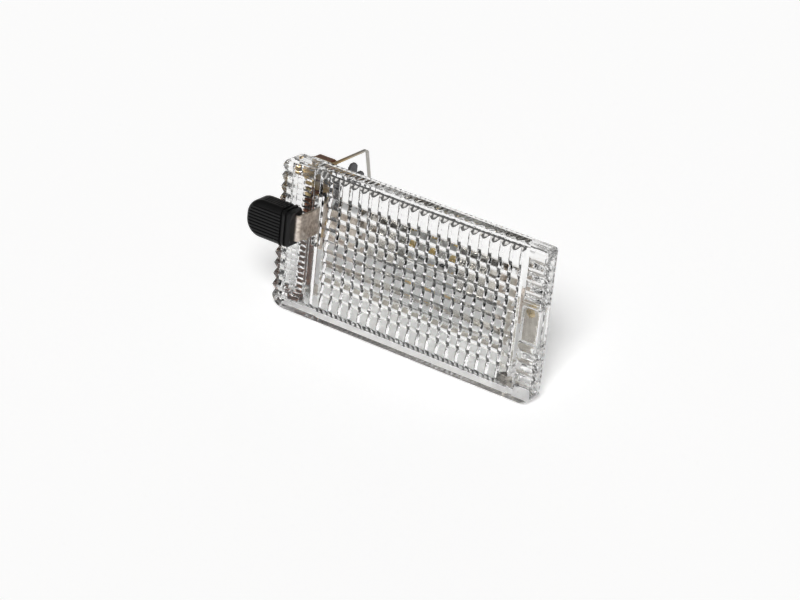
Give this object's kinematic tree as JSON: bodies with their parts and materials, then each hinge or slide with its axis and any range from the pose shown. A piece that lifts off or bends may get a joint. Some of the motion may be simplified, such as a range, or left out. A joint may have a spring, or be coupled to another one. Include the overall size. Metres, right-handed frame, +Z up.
{
  "type": "car map light",
  "caption": "Rectangular clear prism-lens car map light with a ribbed black rocker knob on a plated lever, and the switch, contacts and a festoon LED bulb behind the lens.",
  "frame": {"origin": "middle of the lens rim's back face, where the lamp seats on its panel", "axes": "+X along the lens away from the switch, +Y from the lens front to its back, +Z up the lens's short side"},
  "size_m": [0.0576, 0.0252, 0.0286],
  "materials": {
    "clear_acrylic": "clear moulded acrylic",
    "black_plastic": "satin moulded",
    "plated_strip": "dull tin plate",
    "spring_bronze": "rolled strip",
    "phenolic": "pressed paper laminate",
    "dark_steel": "blackened",
    "brass_rivet": "turned",
    "nickel_cap": "dull nickel plate",
    "clear_tube": "clear tube",
    "board": "white solder mask",
    "led": "phosphor gel",
    "resistor": "fired film"
  },
  "bodies": {
    "lamp": {"lens": "clear_acrylic", "carrier_plate": "phenolic", "switch_bracket": "dark_steel", "pivot_pin": "brass_rivet", "pivot_washers": "spring_bronze", "door_contact": "spring_bronze", "lamp_contact": "spring_bronze", "left_bulb_contact": "plated_strip", "right_bulb_contact": "plated_strip", "bus_bar": "plated_strip", "retaining_spring": "spring_bronze", "bracket_rivets": "brass_rivet", "contact_rivets": "brass_rivet", "bulb_left_cap": "nickel_cap", "bulb_right_cap": "nickel_cap", "bulb_tube": "clear_tube", "bulb_board": "board", "bulb_leds": "led", "bulb_resistors": "resistor"},
    "lever": {"switch_lever": "plated_strip", "lever_knob": "black_plastic"}
  },
  "joints": [
    {"name": "switch_rock", "type": "hinge", "parent": "lamp", "child": "lever", "pos_m": [-0.0194, 0.0064, 0.0043], "axis": [1, 0, 0], "range_deg": [-12, 12]}
  ]
}
